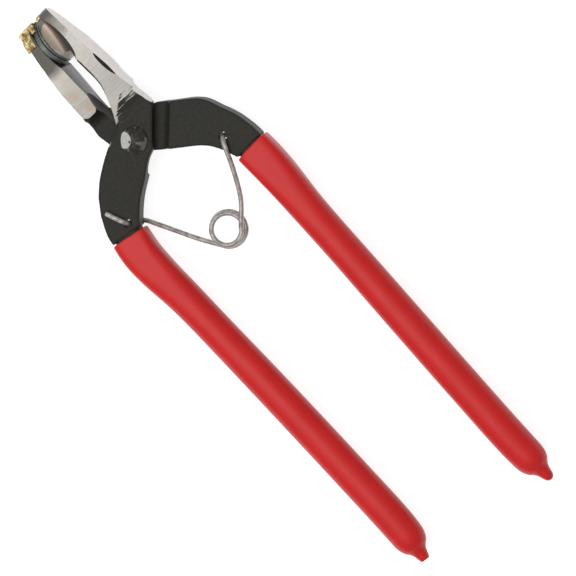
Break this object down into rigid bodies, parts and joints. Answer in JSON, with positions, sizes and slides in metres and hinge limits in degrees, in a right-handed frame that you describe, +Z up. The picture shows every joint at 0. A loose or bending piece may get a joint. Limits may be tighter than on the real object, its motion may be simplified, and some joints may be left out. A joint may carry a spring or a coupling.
{
  "type": "grozing pliers",
  "caption": "Carbide-tipped grozing and nipping pliers with a riveted lap joint, loop return spring and dipped vinyl grips, lying flat with the jaws closed.",
  "frame": {"origin": "middle of the underside of the box that holds the whole tool, lying on its side with the jaws closed", "axes": "+X along the tool towards the jaws, +Y towards the left handle, +Z up along the pivot rivet"},
  "size_m": [0.204, 0.0588, 0.0168],
  "materials": {
    "forged_steel": "black oxide over a forged skin, ground bright on the jaws",
    "rivet_steel": "peened and blackened, with one bright struck facet",
    "carbide": "ground grey-green hard metal",
    "braze": "lumpy as-flowed braze",
    "spring_wire": "drawn bright wire",
    "red_vinyl": "glossy dip-moulded vinyl"
  },
  "bodies": {
    "upper_lever": {"upper_jaw_lever": "forged_steel", "pivot_rivet": "rivet_steel", "upper_carbide_insert": "carbide", "upper_braze": "braze", "left_grip": "red_vinyl", "return_spring": "spring_wire"},
    "lower_lever": {"lower_jaw_lever": "forged_steel", "lower_carbide_insert": "carbide", "lower_braze": "braze", "right_grip": "red_vinyl"}
  },
  "joints": [
    {"name": "jaw_pivot", "type": "hinge", "parent": "upper_lever", "child": "lower_lever", "pos_m": [0.05495, 0.00151, 0.0084], "axis": [0, 0, 1], "range_deg": [0, 14], "stiffness_Nm_per_rad": 0.5, "springref_deg": 12.03, "deforming": ["return_spring"]}
  ]
}
